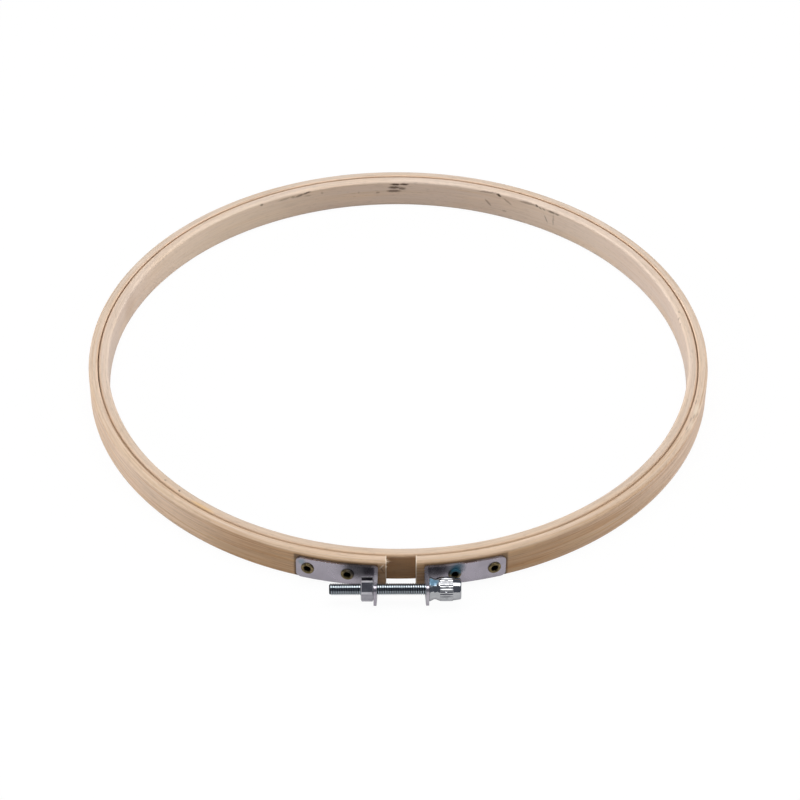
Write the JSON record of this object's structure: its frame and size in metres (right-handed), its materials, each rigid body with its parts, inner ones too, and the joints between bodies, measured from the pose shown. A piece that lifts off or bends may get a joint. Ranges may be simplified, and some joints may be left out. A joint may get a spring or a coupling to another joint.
{
  "type": "embroidery hoop",
  "caption": "Two nested bamboo rings that grip fabric, the outer one split and drawn together by a screw clamp with a knurled knob.",
  "frame": {"origin": "on the hoop's axis, in the plane of the rings' lower faces", "axes": "+Z along the hoop's axis, up from the face it lies on; the screw clamp is at the front, towards -Y; +X along the screw, from its free end to its knob"},
  "size_m": [0.23, 0.2414, 0.012],
  "materials": {
    "bamboo_inner": "satin",
    "bamboo_outer": "satin",
    "zinc_plated_strip": "satin",
    "aged_brass": "dull",
    "zinc_plated_thread": "bright zinc",
    "bright_plating": "bright",
    "zinc_plated_nut": "satin"
  },
  "bodies": {
    "outer_frame": {"outer_ring": "bamboo_outer", "right_bracket": "zinc_plated_strip", "rivet_right_inner": "aged_brass", "rivet_right_outer": "aged_brass"},
    "left_clamp": {"left_bracket": "zinc_plated_strip", "rivet_left_inner": "aged_brass", "rivet_left_outer": "aged_brass", "nut": "zinc_plated_nut"},
    "screw": {"screw_rod": "zinc_plated_thread", "knob": "bright_plating"},
    "inner_hoop": {"inner_ring": "bamboo_inner"}
  },
  "joints": [
    {"name": "screw_turn", "type": "hinge", "parent": "outer_frame", "child": "screw", "pos_m": [0, -0.1216, 0.0058], "axis": [1, 0, 0], "range_deg": [0, 4320]},
    {"name": "ring_flex", "type": "hinge", "parent": "outer_frame", "child": "left_clamp", "pos_m": [-0.01626, 0.1121, 0.0058], "axis": [0, 0, -1], "range_deg": [0, 2.33], "deforming": ["outer_ring"]},
    {"name": "inner_ring_lift", "type": "slide", "parent": "outer_frame", "child": "inner_hoop", "axis": [0, 0, 1], "range_m": [0, 0.02]}
  ],
  "couplings": [
    {"joint": "screw_turn", "follows": "ring_flex", "ratio": 1849.9}
  ]
}
